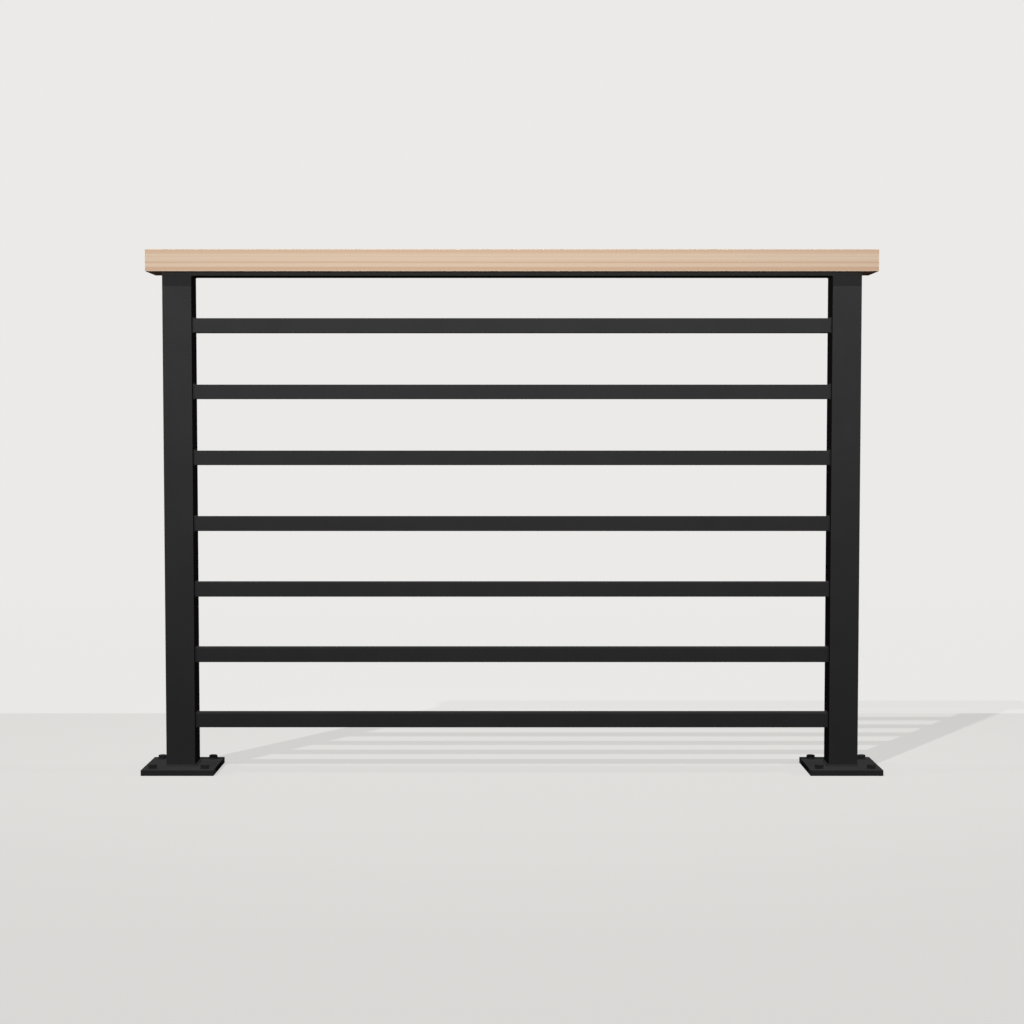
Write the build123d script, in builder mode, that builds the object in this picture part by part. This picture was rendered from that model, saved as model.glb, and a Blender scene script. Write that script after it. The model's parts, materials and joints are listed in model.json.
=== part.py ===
from build123d import *
import os

# Level stair and landing railing: two steel posts on bolted base plates, seven
# horizontal square bars, a flat steel top rail and a wooden handrail.
#
# Millimetres, +Z up. The origin is on the floor, midway between the two posts,
# with +X along the railing and +Y from the front to the back.

# Setting out
handrail_height = 900.5   # floor to the top of the handrail
clear_width = 1100.0      # between the facing sides of the two posts

# Posts: square steel tube, standing on the plates and closed by the top rail
post_side = 50.0
post_wall = 3.0
post_corner = 1.0         # outer corner radius of the tube

# Base plates: square steel plate with one bolt hole in each corner
plate_side = 125.0
plate_thickness = 10.0
plate_corner = 1.0        # corner radius in plan
plate_chamfer = 0.5       # eased top edge
bolt_hole = 9.0           # clearance hole for an 8 mm bolt
bolt_edge_distance = 17.5 # plate edge to the middle of a hole

# Bars: square steel tube, butted between the posts and evenly spaced
bar_count = 7
bar_side = 25.0
bar_wall = 2.0
bar_corner = 0.8          # outer corner radius of the tube
bottom_gap = 75.5         # floor to the underside of the lowest bar
top_gap = 71.5            # highest bar to the underside of the top rail

# Top rail: flat steel bar laid over both posts, flush with their faces
rail_thickness = 6.0
rail_edge = 0.8           # rolled edge radius
screw_count = 5
screw_hole = 5.5          # clearance hole for a wood screw
screw_head = 10.0         # countersink diameter on the underside
screw_end_distance = 100.0  # end of the rail to the middle of the first hole

# Handrail: one straight length of timber with eased edges
handrail_width = 90.0
handrail_thickness = 37.5
handrail_overhang = 25.0  # past the outer side of each post
handrail_edge = 1.0       # eased edge radius

# Hollows of the tubes
post_inside = post_side - 2 * post_wall
bar_inside = bar_side - 2 * bar_wall

# Heights of the seats, from the floor
rail_top = handrail_height - handrail_thickness
post_top = rail_top - rail_thickness

# Places along the railing
post_centre = (clear_width + post_side) / 2
rail_length = clear_width + 2 * post_side
handrail_length = rail_length + 2 * handrail_overhang

# Spacing of what repeats
bolt_spacing = plate_side - 2 * bolt_edge_distance
screw_spacing = (rail_length - 2 * screw_end_distance) / (screw_count - 1)
lowest_bar = bottom_gap + bar_side / 2
highest_bar = post_top - top_gap - bar_side / 2
bar_pitch = (highest_bar - lowest_bar) / (bar_count - 1)

os.makedirs("parts", exist_ok=True)

# One post and its base plate at each end
for side, centre in (("left", -post_centre), ("right", post_centre)):
    with BuildPart() as base_plate:
        with BuildSketch(Plane((centre, 0, 0))):
            RectangleRounded(plate_side, plate_side, plate_corner)
        extrude(amount=plate_thickness)
        chamfer(base_plate.edges().group_by(Axis.Z)[-1], plate_chamfer)
        with Locations(Plane((centre, 0, plate_thickness))):
            with GridLocations(bolt_spacing, bolt_spacing, 2, 2):
                Hole(bolt_hole / 2)

    base_plate.part.label = f"{side}_base_plate"
    export_step(base_plate.part, f"parts/{side}_base_plate.step")

    with BuildPart() as post:
        with BuildSketch(Plane((centre, 0, plate_thickness))):
            RectangleRounded(post_side, post_side, post_corner)
            Rectangle(post_inside, post_inside, mode=Mode.SUBTRACT)
        extrude(amount=post_top - plate_thickness)

    post.part.label = f"{side}_post"
    export_step(post.part, f"parts/{side}_post.step")

# Bars, numbered from the lowest up, each from one post's side to the other's
for number in range(1, bar_count + 1):
    height = lowest_bar + (number - 1) * bar_pitch
    bar_end = Plane((-clear_width / 2, 0, height), x_dir=(0, 1, 0), z_dir=(1, 0, 0))

    with BuildPart() as bar:
        with BuildSketch(bar_end):
            RectangleRounded(bar_side, bar_side, bar_corner)
            Rectangle(bar_inside, bar_inside, mode=Mode.SUBTRACT)
        extrude(amount=clear_width)

    bar.part.label = f"bar_{number}"
    export_step(bar.part, f"parts/bar_{number}.step")

# Top rail, with its screw holes countersunk from below
with BuildPart() as top_rail:
    with BuildSketch(Plane.XY.offset(post_top)):
        Rectangle(rail_length, post_side)
    extrude(amount=rail_thickness)
    fillet(top_rail.edges().filter_by(Axis.X), rail_edge)
    with Locations(Plane((0, 0, post_top), z_dir=(0, 0, -1))):
        with GridLocations(screw_spacing, 0, screw_count, 1):
            CounterSinkHole(screw_hole / 2, screw_head / 2)

top_rail.part.label = "top_rail"
export_step(top_rail.part, "parts/top_rail.step")

# Handrail, seated flat on the top rail
with BuildPart() as handrail:
    with BuildSketch(Plane.XY.offset(rail_top)):
        Rectangle(handrail_length, handrail_width)
    extrude(amount=handrail_thickness)
    fillet(handrail.edges(), handrail_edge)

handrail.part.label = "handrail"
export_step(handrail.part, "parts/handrail.step")
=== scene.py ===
"""Looks of a level stair railing: black powder-coated steel with a pale timber handrail.

The packed solids stay where they are and get their finishes here. Bolts, washers, screws and
weld beads are added as surfaces worked out with numpy. Lengths are in metres, in the frame of
the solids: +X along the railing, +Y to the back, +Z up, floor at zero.
"""

import json
import math

import bmesh
import bpy
import numpy as np
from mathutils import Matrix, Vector


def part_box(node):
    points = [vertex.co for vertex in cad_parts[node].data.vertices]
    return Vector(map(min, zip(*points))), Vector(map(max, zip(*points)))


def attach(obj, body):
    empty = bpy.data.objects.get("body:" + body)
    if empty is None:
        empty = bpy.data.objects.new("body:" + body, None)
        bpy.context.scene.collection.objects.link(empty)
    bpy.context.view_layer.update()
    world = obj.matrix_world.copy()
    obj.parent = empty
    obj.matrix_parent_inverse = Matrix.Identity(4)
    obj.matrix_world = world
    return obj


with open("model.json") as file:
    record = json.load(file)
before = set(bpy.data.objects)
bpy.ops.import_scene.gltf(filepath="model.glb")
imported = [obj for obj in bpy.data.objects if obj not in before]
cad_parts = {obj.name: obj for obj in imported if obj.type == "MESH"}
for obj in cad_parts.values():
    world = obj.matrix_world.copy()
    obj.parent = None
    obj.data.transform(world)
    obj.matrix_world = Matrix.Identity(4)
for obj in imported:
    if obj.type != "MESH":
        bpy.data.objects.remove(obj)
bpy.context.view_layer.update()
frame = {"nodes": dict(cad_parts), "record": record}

bl_info = {
    "name": "Stair railing finishes",
    "version": (1, 0, 0),
    "blender": (4, 5, 0),
    "location": "3D View > Sidebar > Railing",
    "description": "Finishes, fasteners, welds and stage of a level stair railing",
    "category": "Object",
}

BODY = "root"
SIDES = {"left": -1.0, "right": 1.0}  # each side's direction along X
BARS = sorted(name for name in frame["nodes"] if name.startswith("bar_"))
STEEL_NODES = [name for name in frame["nodes"] if name != "handrail"]
MM = 0.001

# Bolt holes of the plates come from the record's bolt patterns
MOUNTS = {mount["name"]: mount for mount in frame["record"]["mounts"]}

# Sizes read off the solids
PLATE_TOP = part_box("left_base_plate")[1].z
RAIL_LOW, RAIL_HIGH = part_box("top_rail")
POST_LOW, POST_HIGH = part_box("right_post")
POST_SIDE = POST_HIGH.x - POST_LOW.x
POST_CENTRE = (POST_LOW.x + POST_HIGH.x) / 2.0
POST_INNER_FACE = POST_LOW.x
BAR_LOW, BAR_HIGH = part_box(BARS[0])
BAR_SIDE = BAR_HIGH.z - BAR_LOW.z
HANDRAIL_LOW, HANDRAIL_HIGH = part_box("handrail")

# Corner radii of the tubes, and the row of screw holes under the top rail, as in the solids
POST_CORNER = 1.0 * MM
BAR_CORNER = 0.8 * MM
SCREW_COUNT = 5
SCREW_END_DISTANCE = 100.0 * MM

# Seats of the fasteners
SHANK_END = 0.4 * MM          # a bolt's lower end above the floor
WASHER_CLEARANCE = 0.2 * MM   # between a washer and its bolt
SCREW_SINK = 0.2 * MM         # a screw's head above the rail's underside

# Turns at which tightening left the bolts and screws. A bolt's is a flat to the front, give or
# take a spread by a sine whose angle grows from bolt to bolt and, in each metre, along the railing
FLAT_TO_FRONT = math.radians(30.0)
BOLT_TURN_SPREAD = math.radians(4.0)
BOLT_TURN_STEP = 5.0
BOLT_TURN_PER_METRE = 9.0
SCREW_TURN_STEP = 1.1

# Angles past which the faces of a piece meet in a sharp edge
BOLT_CREASE = math.radians(20.0)
WASHER_CREASE = math.radians(30.0)
SCREW_CREASE = math.radians(25.0)
BEAD_CREASE = math.radians(60.0)

MERGE_DISTANCE = 1e-7  # points of a mesh closer than this become one
STEPS_PER_RIPPLE = 6   # points of a bead's path

# Patterns of the steel's finishes: specks for each grain of the coat, and how often the clouds and
# the fine relief of blackened steel repeat in a metre
SPECKS_PER_GRAIN = 2.6
CLOUD_PATTERN = 240.0
RELIEF_PATTERN = 1900.0

# Dark bands of the timber: the setting that gives each one's depth, its half width and strength
BANDS = (
    ("top_band", 4.2 * MM, 0.6),
    ("middle_band", 1.6 * MM, 0.8),
    ("low_band", 4.4 * MM, 0.85),
)

# Patterns of the timber: how often each repeats in a metre along, across and up the handrail
DRIFT_PATTERN = (0.8, 7.0, 7.0)
UNEVEN_PATTERN = (0.3, 55.0, 55.0)
FIBRE_PATTERN = (7.0, 800.0, 800.0)
STREAK_PATTERN = (0.5, 240.0, 240.0)
FLECK_PATTERN = (260.0, 2400.0, 2400.0)
RING_SHIFT = 2.4  # rings by which the uneven pattern moves a ring line

# Floor: the share of its tone that glows by itself near the railing and past its line, the
# distances between which the glow takes over, the line's width, and the tone of bounced light
GLOW_NEAR = 0.655
GLOW_BEYOND = 0.84
GLOW_FROM, GLOW_TO = 1.7, 4.5
LINE_WIDTH = 0.01
BOUNCE_COLOUR = (0.032, 0.023, 0.018, 1.0)
FLOOR_REACH = 60.0

# Camera and lamps: places and targets are measured from the railing's middle on the floor
SENSOR_WIDTH = 36.0
MIDDLE = (0.0, 0.0, 0.0)
KEY_PLACE = (0.0, -1.0, 1.214)
FLOOR_KEY_PLACE = (-0.655, -1.0, 1.214)
KEY_ANGLE = math.radians(0.8)
FRONT_PLACE = (-0.3, -8.4, 0.95)
FRONT_TARGET = (-0.1, 0.0, 2.93)
FRONT_CONE = math.radians(42.0)
FRONT_RADIUS = 0.3
TOP_PLACE = (0.1, 1.6, 9.0)
BACK_PLACE = (0.0, 14.0, 4.0)
BOX_TARGET = (0.0, 0.0, 0.5)
BOX_SIDE = 1.6
SIDE_DISTANCE = 3.0
SIDE_HEIGHT = 0.86
SIDE_TARGET = (0.0, 0.0, 0.7)
SIDE_CONE = math.radians(50.0)
SIDE_RADIUS = 0.02


# Property groups: the sizes and colours that a user would change

class CoatSettings(bpy.types.PropertyGroup):
    """Black powder coat of the steel."""

    colour: bpy.props.FloatVectorProperty(
        name="Colour", description="Colour of the coat", subtype="COLOR", size=4,
        min=0.0, max=1.0, default=(0.036, 0.036, 0.0365, 1.0))
    thin_colour: bpy.props.FloatVectorProperty(
        name="Thin colour", description="Colour where the coat lies thinner", subtype="COLOR",
        size=4, min=0.0, max=1.0, default=(0.041, 0.041, 0.0415, 1.0))
    roughness: bpy.props.FloatProperty(
        name="Roughness", description="Mean roughness of the coat", subtype="FACTOR",
        min=0.0, max=1.0, default=0.86)
    patch: bpy.props.FloatProperty(
        name="Patch", description="Width of one patch of the cloudy film", unit="LENGTH",
        default=0.0625)
    grain: bpy.props.FloatProperty(
        name="Grain", description="Width of one grain of the fine texture", unit="LENGTH",
        default=0.0011)
    relief: bpy.props.FloatProperty(
        name="Relief", description="Height of the fine texture", unit="LENGTH",
        default=0.00008)


class TimberSettings(bpy.types.PropertyGroup):
    """Pale straight-grained hardwood of the handrail."""

    early_colour: bpy.props.FloatVectorProperty(
        name="Early wood", description="Light wood between the ring lines", subtype="COLOR",
        size=4, min=0.0, max=1.0, default=(0.650, 0.508, 0.381, 1.0))
    late_colour: bpy.props.FloatVectorProperty(
        name="Late wood", description="Darker wood of the ring lines", subtype="COLOR",
        size=4, min=0.0, max=1.0, default=(0.566, 0.384, 0.263, 1.0))
    ring_width: bpy.props.FloatProperty(
        name="Ring width", description="Mean distance between two ring lines", unit="LENGTH",
        default=0.0036)
    ring_drift: bpy.props.FloatProperty(
        name="Ring drift", description="How far the rings wander along the length",
        unit="LENGTH", default=0.0012)
    heart_depth: bpy.props.FloatProperty(
        name="Heart depth", description="How far the tree's heart lies below the handrail",
        unit="LENGTH", default=0.21)
    heart_offset: bpy.props.FloatProperty(
        name="Heart offset", description="How far the heart lies to the back of the middle",
        unit="LENGTH", default=0.018)
    top_band: bpy.props.FloatProperty(
        name="Top band", description="Depth of the upper dark band below the front top edge",
        unit="LENGTH", default=0.0039)
    middle_band: bpy.props.FloatProperty(
        name="Middle band", description="Depth of the thin dark line below the front top edge",
        unit="LENGTH", default=0.0215)
    low_band: bpy.props.FloatProperty(
        name="Low band", description="Depth of the lower dark band below the front top edge",
        unit="LENGTH", default=0.0316)
    end_shade: bpy.props.FloatProperty(
        name="End shade", description="How much darker the end grain is", subtype="FACTOR",
        min=0.0, max=1.0, default=0.35)
    roughness: bpy.props.FloatProperty(
        name="Roughness", description="Mean roughness of the oiled wood", subtype="FACTOR",
        min=0.0, max=1.0, default=0.75)
    relief: bpy.props.FloatProperty(
        name="Relief", description="Height of the fibres", unit="LENGTH", default=0.0001)


class FastenerSettings(bpy.types.PropertyGroup):
    """Bolts of the base plates and screws of the handrail."""

    colour: bpy.props.FloatVectorProperty(
        name="Colour", description="Blackened steel", subtype="COLOR", size=4,
        min=0.0, max=1.0, default=(0.022, 0.022, 0.023, 1.0))
    pale_colour: bpy.props.FloatVectorProperty(
        name="Pale colour", description="Paler clouds in the blackened steel", subtype="COLOR",
        size=4, min=0.0, max=1.0, default=(0.038, 0.037, 0.036, 1.0))
    relief: bpy.props.FloatProperty(
        name="Relief", description="Height of the blackened steel's fine texture", unit="LENGTH",
        default=0.00004)
    bolt_flats: bpy.props.FloatProperty(
        name="Across flats", description="Hexagon head across its flats", unit="LENGTH",
        default=0.013)
    bolt_head: bpy.props.FloatProperty(
        name="Head height", description="Height of the hexagon head", unit="LENGTH",
        default=0.0053)
    bolt_shank: bpy.props.FloatProperty(
        name="Shank", description="Diameter of the bolt's shank", unit="LENGTH",
        default=0.008)
    washer_width: bpy.props.FloatProperty(
        name="Washer", description="Outer diameter of the washer", unit="LENGTH",
        default=0.0155)
    washer_thickness: bpy.props.FloatProperty(
        name="Washer thickness", description="Thickness of the washer", unit="LENGTH",
        default=0.0016)
    screw_head: bpy.props.FloatProperty(
        name="Screw head", description="Diameter of a countersunk screw head", unit="LENGTH",
        default=0.0094)
    screw_shank: bpy.props.FloatProperty(
        name="Screw shank", description="Diameter of a screw's shank", unit="LENGTH",
        default=0.0048)
    screw_length: bpy.props.FloatProperty(
        name="Screw length", description="Length of a screw with its head", unit="LENGTH",
        default=0.03)


class WeldSettings(bpy.types.PropertyGroup):
    """Weld beads under the coat."""

    foot_leg: bpy.props.FloatProperty(
        name="Foot bead", description="Leg of the bead round a post's foot", unit="LENGTH",
        default=0.0026)
    bar_leg: bpy.props.FloatProperty(
        name="Bar bead", description="Leg of the bead round a bar's end", unit="LENGTH",
        default=0.0016)
    ripple: bpy.props.FloatProperty(
        name="Ripple", description="Distance from one ripple of a bead to the next",
        unit="LENGTH", default=0.0022)


class StageSettings(bpy.types.PropertyGroup):
    """Camera, lamps and floor."""

    camera_distance: bpy.props.FloatProperty(
        name="Distance", description="Camera to the middle of the railing", unit="LENGTH",
        default=3.15165)
    camera_height: bpy.props.FloatProperty(
        name="Height", description="Camera above the floor", unit="LENGTH", default=0.60499)
    camera_tilt: bpy.props.FloatProperty(
        name="Tilt", description="How far the camera looks down", unit="ROTATION",
        default=math.radians(2.806))
    camera_lens: bpy.props.FloatProperty(
        name="Lens", description="Focal length in millimetres on a 36 mm sensor",
        default=63.817)
    floor_colour: bpy.props.FloatVectorProperty(
        name="Floor", description="Pale floor", subtype="COLOR", size=4, min=0.0, max=1.0,
        default=(0.750, 0.742, 0.724, 1.0))
    back_colour: bpy.props.FloatVectorProperty(
        name="Background", description="Pale background", subtype="COLOR", size=4,
        min=0.0, max=1.0, default=(0.831, 0.823, 0.807, 1.0))
    floor_depth: bpy.props.FloatProperty(
        name="Floor depth", description="Where the floor turns to the background's tone",
        unit="LENGTH", default=0.606)
    key_power: bpy.props.FloatProperty(
        name="Key", description="Strength of the key lamp on the railing", default=1.68)
    floor_key_power: bpy.props.FloatProperty(
        name="Floor key", description="Strength of the lamp that lays the shadow on the floor",
        default=1.82)
    front_power: bpy.props.FloatProperty(
        name="Front", description="Power of the lamp in front", unit="POWER", default=3450.0)
    top_power: bpy.props.FloatProperty(
        name="Top", description="Power of the lamp above", unit="POWER", default=200.0)
    back_power: bpy.props.FloatProperty(
        name="Back", description="Power of the lamp behind", unit="POWER", default=1100.0)
    side_power: bpy.props.FloatProperty(
        name="Sides", description="Power of each lamp at the sides", unit="POWER", default=120.0)
    ambient: bpy.props.FloatProperty(
        name="Ambient", description="Light from all round", default=0.07)


# Meshes from arrays

def grid_faces(rows, columns, rows_closed=False):
    """Quads of a grid of points whose columns close into a ring, and its rows too if asked."""
    index = np.arange(rows * columns).reshape(rows, columns)
    index = np.concatenate([index, index[:, :1]], axis=1)
    if rows_closed:
        index = np.concatenate([index, index[:1]], axis=0)
    corners = [index[:-1, :-1], index[:-1, 1:], index[1:, 1:], index[1:, :-1]]
    return np.stack(corners, axis=-1).reshape(-1, 4)


def joined(shells):
    """One list of points and one of faces from several (points, faces) shells."""
    counts = np.cumsum([0] + [len(points) for points, _ in shells])
    points = np.concatenate([points for points, _ in shells])
    faces = np.concatenate([faces + start for (_, faces), start in zip(shells, counts)])
    return points, faces


def add_piece(name, shells, material, crease):
    """A new steel object made of closed shells, with poles merged, that rides on the railing."""
    points, faces = joined(shells)
    mesh = bpy.data.meshes.new(name)
    mesh.from_pydata(points.tolist(), [], faces.tolist())
    shape = bmesh.new()
    shape.from_mesh(mesh)
    bmesh.ops.remove_doubles(shape, verts=shape.verts, dist=MERGE_DISTANCE)
    bmesh.ops.recalc_face_normals(shape, faces=shape.faces)
    shape.to_mesh(mesh)
    shape.free()
    mesh.polygons.foreach_set("use_smooth", np.ones(len(mesh.polygons), bool))
    mesh.set_sharp_from_angle(angle=crease)
    mesh.materials.append(material)
    piece = bpy.data.objects.new(name, mesh)
    bpy.context.scene.collection.objects.link(piece)
    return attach(piece, BODY)


def turned(radii, heights, columns, turn=0.0):
    """A surface turned about Z: each row of radii, one for each of the columns, at its height,
    which is one number for a row or one for each of its columns."""
    angles = np.linspace(0.0, 2.0 * math.pi, columns, endpoint=False) + turn
    radii = np.broadcast_to(radii, (len(heights), columns))
    heights = np.broadcast_to(np.reshape(heights, (len(heights), -1)), radii.shape)
    points = np.stack([radii * np.cos(angles), radii * np.sin(angles), heights], axis=-1)
    return points.reshape(-1, 3), grid_faces(*radii.shape)


def hexagon_radii(flats, columns):
    """Distance from the middle of a hexagon to its outline, for each of the columns' angles:
    half the width across the flats, over the cosine of the angle from the nearest flat."""
    angles = np.linspace(0.0, 2.0 * math.pi, columns, endpoint=False)
    from_flat = (angles + math.pi / 6.0) % (math.pi / 3.0) - math.pi / 6.0
    return flats / 2.0 / np.cos(from_flat)


def hexagon_bolt(settings, base, seat, turn):
    """A bolt from its shank's end at base to its head on seat. The head is a hexagon, and each
    height's radius is the smaller of the hexagon's and that of a chamfer cone, which rises at
    30 degrees and ends at the top in a circle of 0.95 of the width across the flats."""
    columns, chamfer_rows = 72, 9
    slope = math.tan(math.radians(30.0))
    hexagon = hexagon_radii(settings.bolt_flats, columns)
    top = seat + settings.bolt_head
    top_radius = 0.95 * settings.bolt_flats / 2.0
    chamfer = (hexagon.max() - top_radius) * slope
    heights = np.concatenate([[seat], np.linspace(top - chamfer, top, chamfer_rows)])
    cone = top_radius + (top - heights) / slope
    head = np.minimum(hexagon, cone[:, None])
    shank = np.full((3, columns), settings.bolt_shank / 2.0)
    shank[0] = 0.0
    crown = np.zeros((1, columns))
    radii = np.concatenate([shank, head, crown])
    return turned(radii, np.concatenate([[base, base, seat], heights, [top]]), columns, turn)


def plain_washer(settings, seat):
    """A flat ring on seat whose section is a rectangle with its outer edges eased by arcs, each
    with a radius of a fifth of the thickness."""
    columns, arc_points = 64, 5
    ease = 0.2 * settings.washer_thickness
    outer = settings.washer_width / 2.0
    inner = settings.bolt_shank / 2.0 + WASHER_CLEARANCE
    arc = np.linspace(0.0, math.pi / 2.0, arc_points)
    low = np.stack([outer - ease + ease * np.sin(arc), ease - ease * np.cos(arc)])
    high = np.stack([low[0, ::-1], settings.washer_thickness - low[1, ::-1]])
    ring = np.array([[inner, inner], [settings.washer_thickness, 0.0]])
    section = np.concatenate([low, high, ring], axis=1)
    points, _ = turned(section[0][:, None], seat + section[1], columns)
    return points, grid_faces(section.shape[1], columns, rows_closed=True)


def countersunk_screw(settings, seat, turn):
    """A screw that points up from seat. Its flat head is a disc with a cross sunk in it: the
    depth is full within the half width of an arm and fades out along it. Above the head a cone
    narrows to the shank."""
    columns, rings = 96, 22
    head = settings.screw_head / 2.0
    shank = settings.screw_shank / 2.0
    arm_half_width, arm_edge = 0.13 * head, 0.04 * head
    arm_length, arm_fade = 0.62 * head, 0.3 * head
    cross_depth = 0.35 * head
    cone_angle = math.radians(49.0)
    angles = np.linspace(0.0, 2.0 * math.pi, columns, endpoint=False)
    radius = np.linspace(0.0, head, rings)[:, None]
    to_axes = np.abs(radius * np.stack([np.cos(angles), np.sin(angles)])[:, None])
    arm = np.clip((arm_half_width - to_axes.min(axis=0)) / arm_edge + 1.0, 0.0, 1.0)
    reach = np.clip((arm_length - to_axes.max(axis=0)) / arm_fade, 0.0, 1.0)
    face = seat + cross_depth * arm * reach
    cone_top = seat + (head - shank) * math.tan(cone_angle)
    tip = seat + settings.screw_length
    back = np.array([[shank, cone_top], [shank, tip], [0.0, tip]])
    radii = np.concatenate([radius, back[:, :1]])
    heights = np.concatenate([face, np.repeat(back[:, 1:], columns, axis=1)])
    return turned(radii, heights, columns, turn)


def rounded_square(side, radius, step):
    """Outline of a square with rounded corners: points, outward normals and distance along it.
    Each quarter is a corner arc of equal angles and then a straight run of equal steps."""
    fewest = 4
    half = side / 2.0 - radius
    arc = np.linspace(0.0, math.pi / 2.0, max(fewest, round(radius * math.pi / 2.0 / step)))
    run = np.linspace(0.0, 1.0, round(2.0 * half / step))[1:-1, None]
    normal = np.stack([np.cos(arc), np.sin(arc)], axis=1)
    corner = half + radius * normal
    straight = corner[-1] + run * (np.array([-half, half + radius]) - corner[-1])
    points = np.concatenate([corner, straight])
    normals = np.concatenate([normal, np.broadcast_to([0.0, 1.0], straight.shape)])
    quarter = np.array([[0.0, 1.0], [-1.0, 0.0]])
    turns = [np.linalg.matrix_power(quarter, k) for k in range(4)]
    points = np.concatenate([points @ turn for turn in turns])
    normals = np.concatenate([normals @ turn for turn in turns])
    lengths = np.linalg.norm(np.diff(points, axis=0), axis=1)
    return points, normals, np.concatenate([[0.0], np.cumsum(lengths)])


def bead_section(leg, travelled, total, ripple):
    """Section of a fillet bead at each point of its path, as (out, up) pairs: a straight line
    from the foot of one leg to the end of the other, bulged by a sine, with a back that lies
    under both surfaces. Ripples swell it by a sine of the distance, bent to crescents."""
    steps = np.linspace(0.0, 1.0, 7)
    bulge = 0.16 * np.sin(math.pi * steps)
    crescent = 1.6 * np.sin(math.pi * steps)
    swell = 0.07
    sink, reach = 0.15 * leg, 0.5 * leg
    waves = max(1, round(total / ripple)) / total
    phase = 2.0 * math.pi * waves * travelled[:, None] + crescent
    size = leg * (1.0 + swell * np.sin(phase))
    front = np.stack([size * (1.0 - steps + bulge), size * (steps + bulge)], axis=-1)
    back = np.array([[-sink, reach], [-sink, -sink], [reach, -sink]])
    back = np.broadcast_to(back, (len(travelled), *back.shape))
    return np.concatenate([front, back], axis=1)


def ring_bead(side, radius, leg, ripple, centre, first, second, rise):
    """A bead round a square tube: its section stands on the tube's outline, whose plane is
    given by the directions first and second, and grows along rise."""
    outline, normals, travelled = rounded_square(side, radius, ripple / STEPS_PER_RIPPLE)
    total = travelled[-1] + np.linalg.norm(outline[0] - outline[-1])
    section = bead_section(leg, travelled, total, ripple)
    plane = np.array([first, second])
    places = np.asarray(centre) + outline @ plane
    outward = normals @ plane
    points = (places[:, None] + section[..., :1] * outward[:, None]
              + section[..., 1:] * np.asarray(rise))
    return points.reshape(-1, 3), grid_faces(*section.shape[:2], rows_closed=True)


def straight_bead(start, end, leg, ripple, outward, rise):
    """A bead along a straight seam. Over two legs' length at each end its section shrinks to
    nothing, by the square root of the distance from the end."""
    start, end = np.asarray(start), np.asarray(end)
    total = np.linalg.norm(end - start)
    travelled = np.linspace(0.0, total, round(total * STEPS_PER_RIPPLE / ripple))
    from_end = np.minimum(travelled, total - travelled)
    taper = np.sqrt(np.clip(from_end / (2.0 * leg), 0.0, 1.0))
    section = bead_section(leg, travelled, total, ripple) * taper[:, None, None]
    places = start + travelled[:, None] / total * (end - start)
    points = (places[:, None] + section[..., :1] * np.asarray(outward)
              + section[..., 1:] * np.asarray(rise))
    return points.reshape(-1, 3), grid_faces(*section.shape[:2])


# Nodes of the materials

def empty_tree(holder):
    """The cleared node tree of a material or a world."""
    holder.use_nodes = True
    holder.node_tree.nodes.clear()
    return holder.node_tree


def new_material(name):
    """A node material with a shader that has no gloss, joined to its output."""
    material = bpy.data.materials.new(name)
    tree = empty_tree(material)
    output = tree.nodes.new("ShaderNodeOutputMaterial")
    shader = tree.nodes.new("ShaderNodeBsdfPrincipled")
    shader.inputs["Specular IOR Level"].default_value = 0.0
    tree.links.new(shader.outputs["BSDF"], output.inputs["Surface"])
    return material, tree, shader


def put(tree, socket, value):
    """Sets a socket to a number or colour, or joins another node's output to it."""
    if isinstance(value, bpy.types.NodeSocket):
        tree.links.new(value, socket)
    else:
        socket.default_value = value


def maths(tree, operation, *values, clamp=False):
    """A Math node's result."""
    node = tree.nodes.new("ShaderNodeMath")
    node.operation = operation
    node.use_clamp = clamp
    for socket, value in zip(node.inputs, values):
        put(tree, socket, value)
    return node.outputs[0]


def spread(tree, value, low, high, new_low=0.0, new_high=1.0, smooth=False):
    """A value moved from one range to another and held inside it."""
    node = tree.nodes.new("ShaderNodeMapRange")
    node.interpolation_type = "SMOOTHSTEP" if smooth else "LINEAR"
    for name, number in zip(("From Min", "From Max", "To Min", "To Max"),
                            (low, high, new_low, new_high)):
        node.inputs[name].default_value = number
    put(tree, node.inputs["Value"], value)
    return node.outputs["Result"]


def mixed(tree, share, first, second, blend="MIX"):
    """A mix of two colours."""
    node = tree.nodes.new("ShaderNodeMix")
    node.data_type = "RGBA"
    node.blend_type = blend
    put(tree, node.inputs["Factor"], share)
    put(tree, node.inputs["A"], first)
    put(tree, node.inputs["B"], second)
    return node.outputs["Result"]


def mixed_shaders(tree, share, first, second):
    """A mix of two shaders."""
    node = tree.nodes.new("ShaderNodeMixShader")
    for socket, value in zip(node.inputs, (share, first, second)):
        tree.links.new(value, socket)
    return node.outputs[0]


def object_place(tree, stretch=(1.0, 1.0, 1.0), shift=(0.0, 0.0, 0.0)):
    """Object coordinates, stretched and shifted."""
    place = tree.nodes.new("ShaderNodeTexCoord").outputs["Object"]
    node = tree.nodes.new("ShaderNodeMapping")
    node.inputs["Scale"].default_value = stretch
    node.inputs["Location"].default_value = shift
    tree.links.new(place, node.inputs["Vector"])
    return node.outputs["Vector"]


def length_of(tree, vector):
    """The length of a vector."""
    node = tree.nodes.new("ShaderNodeVectorMath")
    node.operation = "LENGTH"
    tree.links.new(vector, node.inputs[0])
    return node.outputs["Value"]


def part_of(tree, vector, axis):
    """One part of a vector."""
    node = tree.nodes.new("ShaderNodeSeparateXYZ")
    tree.links.new(vector, node.inputs["Vector"])
    return node.outputs[axis]


def noise(tree, place, scale=1.0, detail=2.0, roughness=0.5):
    """A noise value from 0 to 1 at a place."""
    node = tree.nodes.new("ShaderNodeTexNoise")
    node.inputs["Scale"].default_value = scale
    node.inputs["Detail"].default_value = detail
    node.inputs["Roughness"].default_value = roughness
    tree.links.new(place, node.inputs["Vector"])
    return node.outputs["Fac"]


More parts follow.
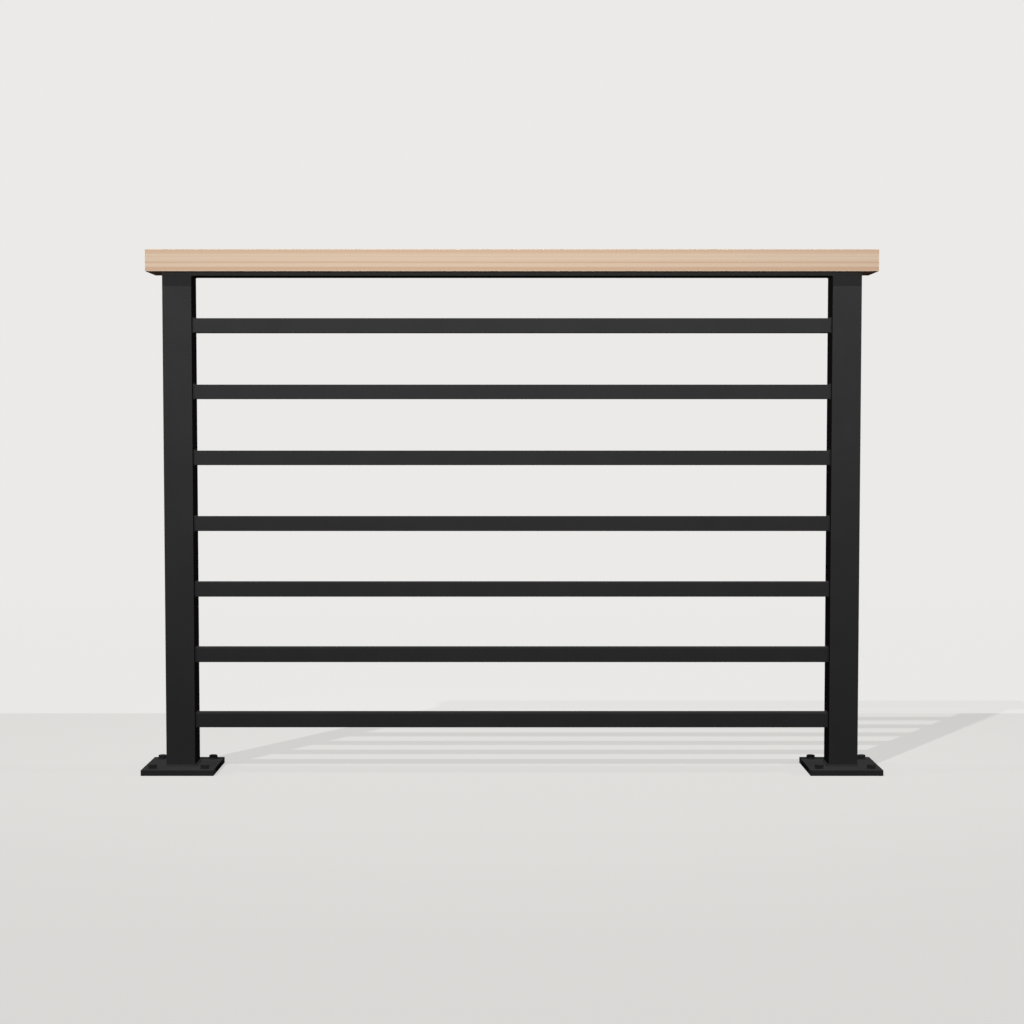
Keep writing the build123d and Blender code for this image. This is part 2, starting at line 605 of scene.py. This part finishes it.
def bump(tree, shader, height, distance):
    """Fine relief of a shader's surface."""
    node = tree.nodes.new("ShaderNodeBump")
    node.inputs["Strength"].default_value = 1.0
    node.inputs["Distance"].default_value = distance
    tree.links.new(height, node.inputs["Height"])
    tree.links.new(node.outputs["Normal"], shader.inputs["Normal"])


# Finishes

def powder_coat(settings):
    """Fine-textured matt black powder coat: grains in relief, a cloudy film and pale specks."""
    material, tree, shader = new_material("black_powder_coat")
    place = object_place(tree)
    film = noise(tree, place, 1.0 / settings.patch, detail=4.0, roughness=0.6)
    grains = noise(tree, place, 1.0 / settings.grain, detail=3.0, roughness=0.55)
    specks = noise(tree, place, SPECKS_PER_GRAIN / settings.grain, detail=1.0)
    shade = maths(tree, "ADD", spread(tree, film, 0.3, 0.7, new_high=0.7),
                  spread(tree, specks, 0.62, 0.8, new_high=0.5), clamp=True)
    put(tree, shader.inputs["Base Color"],
        mixed(tree, shade, settings.colour, settings.thin_colour))
    texture = maths(tree, "ADD", film, maths(tree, "MULTIPLY", grains, 0.5))
    put(tree, shader.inputs["Roughness"],
        spread(tree, texture, 0.5, 1.0, settings.roughness - 0.06, settings.roughness + 0.06))
    bump(tree, shader, grains, settings.relief)
    return material


def blackened_steel(settings):
    """Black oxide of bolts, washers and screws: cloudy, dull and a little darker than the coat."""
    material, tree, shader = new_material("blackened_steel")
    place = object_place(tree)
    cloud = noise(tree, place, CLOUD_PATTERN, detail=4.0, roughness=0.6)
    fine = noise(tree, place, RELIEF_PATTERN)
    put(tree, shader.inputs["Base Color"],
        mixed(tree, spread(tree, cloud, 0.3, 0.7), settings.colour, settings.pale_colour))
    put(tree, shader.inputs["Roughness"], spread(tree, fine, 0.3, 0.7, 0.62, 0.8))
    bump(tree, shader, fine, settings.relief)
    return material


def ring_depth(tree, settings):
    """How far a point lies towards the tree's heart, counted from the ring through the front
    top edge: that edge's distance from the heart's line less the point's own distance, bent
    a little by slow noise along the length."""
    heart = np.array([settings.heart_offset, HANDRAIL_LOW.z - settings.heart_depth])
    across = object_place(tree, (0.0, 1.0, 1.0), (0.0, *-heart))
    outer = math.dist(heart, (HANDRAIL_LOW.y, HANDRAIL_HIGH.z))
    depth = maths(tree, "SUBTRACT", outer, length_of(tree, across))
    drift = noise(tree, object_place(tree, DRIFT_PATTERN, (3.1, 0.4, 1.7)))
    return maths(tree, "ADD", depth,
                 spread(tree, drift, 0.0, 1.0, -settings.ring_drift, settings.ring_drift))


def ring_lines(tree, depth, settings):
    """The ring lines, and how dark they make the wood. A line grows through its ring and ends
    sharply with it, and each ring has a strength of its own."""
    uneven = noise(tree, object_place(tree, UNEVEN_PATTERN, (0.0, 0.2, 0.6)), detail=1.0)
    rings = maths(tree, "ADD", maths(tree, "DIVIDE", depth, settings.ring_width),
                  maths(tree, "MULTIPLY", uneven, RING_SHIFT))
    through = maths(tree, "FRACT", rings)
    line = maths(tree, "MULTIPLY", spread(tree, through, 0.3, 0.9, smooth=True),
                 spread(tree, through, 0.92, 1.0, new_low=1.0, new_high=0.0))
    tone = tree.nodes.new("ShaderNodeTexWhiteNoise")
    tone.noise_dimensions = "1D"
    tree.links.new(maths(tree, "FLOOR", rings), tone.inputs["W"])
    strength = spread(tree, tone.outputs["Value"], 0.0, 1.0, new_low=0.05, new_high=0.4)
    return line, maths(tree, "MULTIPLY", line, strength)


def band(tree, depth, middle, half_width, strength):
    """A dark band of rings: full at its middle and smoothly gone at its half width."""
    away = maths(tree, "ABSOLUTE", maths(tree, "SUBTRACT", depth, middle))
    return spread(tree, away, 0.3 * half_width, half_width, strength, 0.0, smooth=True)


def oiled_timber(settings):
    """Pale hardwood with rings, bands, fibres, streaks and flecks along X, and darker end grain.
    Each adds its share of dark, which turns the early wood's colour to the late wood's."""
    material, tree, shader = new_material("oiled_timber")
    depth = ring_depth(tree, settings)
    line, dark = ring_lines(tree, depth, settings)
    for name, half_width, strength in BANDS:
        one = band(tree, depth, getattr(settings, name), half_width, strength)
        dark = maths(tree, "ADD", dark, one)
    fibre = noise(tree, object_place(tree, FIBRE_PATTERN), detail=4.0, roughness=0.6)
    dark = maths(tree, "ADD", dark, spread(tree, fibre, 0.25, 0.75, -0.1, 0.16))
    streak = noise(tree, object_place(tree, STREAK_PATTERN, (0.0, 2.0, 5.0)), detail=3.0)
    dark = maths(tree, "ADD", dark, spread(tree, streak, 0.3, 0.7, -0.12, 0.18), clamp=True)
    wood = mixed(tree, dark, settings.early_colour, settings.late_colour)
    fleck = noise(tree, object_place(tree, FLECK_PATTERN), detail=1.0)
    wood = mixed(tree, spread(tree, fleck, 0.66, 0.74, new_high=0.3), wood, settings.late_colour)
    facing = tree.nodes.new("ShaderNodeNewGeometry").outputs["Normal"]
    along = maths(tree, "ABSOLUTE", part_of(tree, facing, "X"))
    end = spread(tree, along, 0.6, 0.95, new_high=settings.end_shade, smooth=True)
    put(tree, shader.inputs["Base Color"],
        mixed(tree, end, wood, settings.late_colour, "MULTIPLY"))
    put(tree, shader.inputs["Roughness"],
        spread(tree, fibre, 0.2, 0.8, settings.roughness - 0.08, settings.roughness + 0.1))
    relief = maths(tree, "SUBTRACT", fibre, maths(tree, "MULTIPLY", line, 0.4))
    bump(tree, shader, relief, settings.relief)
    return material


def background_rays(tree):
    """1 for rays that show the background: from the camera, or off gloss or through glass."""
    path = tree.nodes.new("ShaderNodeLightPath").outputs
    seen = maths(tree, "ADD", path["Is Camera Ray"], path["Is Glossy Ray"])
    return maths(tree, "ADD", seen, path["Is Transmission Ray"], clamp=True)


def pale_floor(settings):
    """A floor that shows its own pale tone and the railing's shadow. Behind the railing it
    turns to the tone of the background, and far from it the glow takes over from the lamps.
    Light that bounces off it has a dark tone, so that undersides stay dark."""
    material = bpy.data.materials.new("pale_floor")
    tree = empty_tree(material)
    output = tree.nodes.new("ShaderNodeOutputMaterial")
    place = object_place(tree)
    far = spread(tree, length_of(tree, place), GLOW_FROM, GLOW_TO, smooth=True)
    beyond = spread(tree, part_of(tree, place, "Y"), settings.floor_depth,
                    settings.floor_depth + LINE_WIDTH, smooth=True)
    tone = mixed(tree, beyond, settings.floor_colour, settings.back_colour)
    glow = tree.nodes.new("ShaderNodeEmission")
    tree.links.new(tone, glow.inputs["Color"])
    matt = tree.nodes.new("ShaderNodeBsdfDiffuse")
    tree.links.new(tone, matt.inputs["Color"])
    bounce = tree.nodes.new("ShaderNodeBsdfDiffuse")
    bounce.inputs["Color"].default_value = BOUNCE_COLOUR
    share = maths(tree, "MAXIMUM", spread(tree, far, 0.0, 1.0, GLOW_NEAR, 1.0),
                  spread(tree, beyond, 0.0, 1.0, GLOW_NEAR, GLOW_BEYOND))
    shown = mixed_shaders(tree, share, matt.outputs[0], glow.outputs[0])
    surface = mixed_shaders(tree, background_rays(tree), bounce.outputs[0], shown)
    tree.links.new(surface, output.inputs["Surface"])
    return material


# Operators: one for each piece or group of like pieces, and one for the stage

class RAILING_OT_coat(bpy.types.Operator):
    """Coat the steel solids with black powder coat"""
    bl_idname = "railing.coat"
    bl_label = "Coat steel"

    def execute(self, context):
        coat = powder_coat(context.scene.railing_coat)
        for name in STEEL_NODES:
            frame["nodes"][name].material_slots[0].material = coat
        return {"FINISHED"}


class RAILING_OT_handrail(bpy.types.Operator):
    """Give the handrail its timber"""
    bl_idname = "railing.handrail"
    bl_label = "Finish handrail"

    def execute(self, context):
        timber = oiled_timber(context.scene.railing_timber)
        frame["nodes"]["handrail"].material_slots[0].material = timber
        return {"FINISHED"}


class RAILING_OT_bolts(bpy.types.Operator):
    """Bolt down the base plates"""
    bl_idname = "railing.bolts"
    bl_label = "Add bolts and washers"

    def execute(self, context):
        settings = context.scene.railing_fasteners
        steel = blackened_steel(settings)
        seat = PLATE_TOP + settings.washer_thickness
        for side in SIDES:
            mount = MOUNTS[f"{side}_bolts"]
            middle = np.array(mount["pos_m"])
            apart = MM * np.array([mount["dims"]["spacing_x_mm"], mount["dims"]["spacing_y_mm"], 0])
            bolts, washers = [], []
            for number, corner in enumerate([(-1, -1, 0), (1, -1, 0), (-1, 1, 0), (1, 1, 0)]):
                place = middle + apart / 2.0 * corner
                sway = math.sin(BOLT_TURN_STEP * number + BOLT_TURN_PER_METRE * middle[0])
                turn = FLAT_TO_FRONT + BOLT_TURN_SPREAD * sway
                points, faces = hexagon_bolt(settings, SHANK_END, seat, turn)
                bolts.append((points + place, faces))
                points, faces = plain_washer(settings, PLATE_TOP)
                washers.append((points + place, faces))
            add_piece(f"{side}_bolts", bolts, steel, BOLT_CREASE)
            add_piece(f"{side}_washers", washers, steel, WASHER_CREASE)
        return {"FINISHED"}


class RAILING_OT_screws(bpy.types.Operator):
    """Screw the handrail on from below"""
    bl_idname = "railing.screws"
    bl_label = "Add handrail screws"

    def execute(self, context):
        settings = context.scene.railing_fasteners
        steel = bpy.data.materials.get("blackened_steel") or blackened_steel(settings)
        reach = RAIL_HIGH.x - SCREW_END_DISTANCE
        screws = []
        for number, x in enumerate(np.linspace(-reach, reach, SCREW_COUNT)):
            points, faces = countersunk_screw(settings, SCREW_SINK, SCREW_TURN_STEP * number)
            screws.append((points + (x, 0.0, RAIL_LOW.z), faces))
        add_piece("handrail_screws", screws, steel, SCREW_CREASE)
        return {"FINISHED"}


class RAILING_OT_welds(bpy.types.Operator):
    """Lay the weld beads"""
    bl_idname = "railing.welds"
    bl_label = "Add weld beads"

    def execute(self, context):
        settings = context.scene.railing_welds
        coat = bpy.data.materials["black_powder_coat"]
        for side, sign in SIDES.items():
            foot = ring_bead(POST_SIDE, POST_CORNER, settings.foot_leg, settings.ripple,
                             (sign * POST_CENTRE, 0.0, PLATE_TOP),
                             (1, 0, 0), (0, 1, 0), (0, 0, 1))
            add_piece(f"{side}_foot_weld", [foot], coat, BEAD_CREASE)
            face = sign * POST_INNER_FACE
            beads = []
            for bar in BARS:
                low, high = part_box(bar)
                beads.append(ring_bead(BAR_SIDE, BAR_CORNER, settings.bar_leg, settings.ripple,
                                       (face, 0.0, (low.z + high.z) / 2.0),
                                       (0, 1, 0), (0, 0, 1), (-sign, 0, 0)))
            half = POST_SIDE / 2.0 - POST_CORNER
            beads.append(straight_bead((face, -half, RAIL_LOW.z), (face, half, RAIL_LOW.z),
                                       settings.bar_leg, settings.ripple,
                                       (-sign, 0, 0), (0, 0, -1)))
            add_piece(f"{side}_bar_welds", beads, coat, BEAD_CREASE)
        return {"FINISHED"}


class RAILING_OT_stage(bpy.types.Operator):
    """Set the camera, the lamps and the floor"""
    bl_idname = "railing.stage"
    bl_label = "Set stage"

    def execute(self, context):
        settings = context.scene.railing_stage
        context.scene.view_settings.view_transform = "Standard"
        self.add_camera(context, settings)
        floor = self.add_floor(context, settings)
        self.add_world(context, settings)
        self.add_lamps(context, settings, floor)
        return {"FINISHED"}

    def add_camera(self, context, settings):
        """The camera faces the railing squarely and looks a little down."""
        camera = bpy.data.cameras.new("camera")
        camera.lens = settings.camera_lens
        camera.sensor_width = SENSOR_WIDTH
        holder = bpy.data.objects.new("camera", camera)
        holder.location = (0.0, -settings.camera_distance, settings.camera_height)
        holder.rotation_euler = (math.pi / 2.0 - settings.camera_tilt, 0.0, 0.0)
        context.scene.collection.objects.link(holder)
        context.scene.camera = holder

    def add_floor(self, context, settings):
        """One flat square sheet at the floor's height, wide enough to fill every view."""
        corners = FLOOR_REACH * np.array([[-1, -1, 0], [1, -1, 0], [1, 1, 0], [-1, 1, 0]])
        mesh = bpy.data.meshes.new("floor")
        mesh.from_pydata(corners.tolist(), [], [(0, 1, 2, 3)])
        mesh.materials.append(pale_floor(settings))
        floor = bpy.data.objects.new("floor", mesh)
        context.scene.collection.objects.link(floor)
        return floor

    def add_world(self, context, settings):
        """Even light from all round. Rays that show the background see its pale colour."""
        world = bpy.data.worlds.new("studio")
        tree = empty_tree(world)
        output = tree.nodes.new("ShaderNodeOutputWorld")
        light = tree.nodes.new("ShaderNodeBackground")
        light.inputs["Strength"].default_value = settings.ambient
        shown = tree.nodes.new("ShaderNodeBackground")
        shown.inputs["Color"].default_value = settings.back_colour
        both = mixed_shaders(tree, background_rays(tree), light.outputs[0], shown.outputs[0])
        tree.links.new(both, output.inputs["Surface"])
        context.scene.world = world

    def add_lamps(self, context, settings, floor):
        """A key lamp from the upper front on the railing, one from the upper left that lays its
        shadow on the floor, a soft-edged spot from the front that fades towards the floor,
        shadowless soft boxes above and behind, and a small spot at each side that faces the
        railing's ends."""
        key = self.add_lamp(context, "key", "SUN", settings.key_power, KEY_PLACE, MIDDLE,
                            angle=KEY_ANGLE)
        self.limit_lamp(key, floor, "EXCLUDE")
        floor_key = self.add_lamp(context, "floor_key", "SUN", settings.floor_key_power,
                                  FLOOR_KEY_PLACE, MIDDLE, angle=KEY_ANGLE)
        self.limit_lamp(floor_key, floor, "INCLUDE")
        self.add_lamp(context, "front", "SPOT", settings.front_power, FRONT_PLACE, FRONT_TARGET,
                      spot_size=FRONT_CONE, spot_blend=1.0, shadow_soft_size=FRONT_RADIUS)
        for name, power, place in (("top", settings.top_power, TOP_PLACE),
                                   ("back", settings.back_power, BACK_PLACE)):
            self.add_lamp(context, name, "AREA", power, place, BOX_TARGET,
                          size=BOX_SIDE, use_shadow=False)
        for side, sign in SIDES.items():
            place = (sign * SIDE_DISTANCE, 0.0, SIDE_HEIGHT)
            self.add_lamp(context, f"{side}_side", "SPOT", settings.side_power, place, SIDE_TARGET,
                          spot_size=SIDE_CONE, spot_blend=1.0, shadow_soft_size=SIDE_RADIUS)

    def add_lamp(self, context, name, kind, power, place, target, **looks):
        """A lamp at a place, pointed at a target, with the given values of its kind."""
        light = bpy.data.lights.new(name, kind)
        light.energy = power
        for look, value in looks.items():
            setattr(light, look, value)
        lamp = bpy.data.objects.new(name, light)
        lamp.location = place
        aim = Vector(target) - Vector(place)
        lamp.rotation_euler = aim.to_track_quat("-Z", "Y").to_euler()
        context.scene.collection.objects.link(lamp)
        return lamp

    def limit_lamp(self, lamp, floor, link_state):
        """Lets a lamp light the floor alone, or all but the floor, as the link state says."""
        reach = bpy.data.collections.new(f"{lamp.name}_reach")
        reach.objects.link(floor)
        reach.collection_objects[0].light_linking.link_state = link_state
        lamp.light_linking.receiver_collection = reach


class RAILING_PT_sidebar(bpy.types.Panel):
    """Lists the railing's operators and settings"""
    bl_idname = "RAILING_PT_sidebar"
    bl_label = "Railing"
    bl_space_type = "VIEW_3D"
    bl_region_type = "UI"
    bl_category = "Railing"

    def draw(self, context):
        for operator in OPERATORS:
            self.layout.operator(operator.bl_idname)
        for name, group in SETTINGS.items():
            box = self.layout.box()
            box.label(text=group.__doc__)
            for prop in group.__annotations__:
                box.prop(getattr(context.scene, name), prop)


SETTINGS = {
    "railing_coat": CoatSettings,
    "railing_timber": TimberSettings,
    "railing_fasteners": FastenerSettings,
    "railing_welds": WeldSettings,
    "railing_stage": StageSettings,
}
OPERATORS = (
    RAILING_OT_coat,
    RAILING_OT_handrail,
    RAILING_OT_bolts,
    RAILING_OT_screws,
    RAILING_OT_welds,
    RAILING_OT_stage,
)


def register():
    """Registers the classes and hangs the settings on the scene."""
    for group in SETTINGS.values():
        bpy.utils.register_class(group)
    for name, group in SETTINGS.items():
        setattr(bpy.types.Scene, name, bpy.props.PointerProperty(type=group))
    for kind in (*OPERATORS, RAILING_PT_sidebar):
        bpy.utils.register_class(kind)


def unregister():
    """Takes away what register added."""
    for kind in (RAILING_PT_sidebar, *reversed(OPERATORS)):
        bpy.utils.unregister_class(kind)
    for name, group in SETTINGS.items():
        delattr(bpy.types.Scene, name)
        bpy.utils.unregister_class(group)


def main():
    """Registers the classes and builds the railing's looks: finishes, fasteners, welds and stage.
    """
    register()
    bpy.ops.railing.coat()
    bpy.ops.railing.handrail()
    bpy.ops.railing.bolts()
    bpy.ops.railing.screws()
    bpy.ops.railing.welds()
    bpy.ops.railing.stage()


if __name__ == "__main__":
    main()
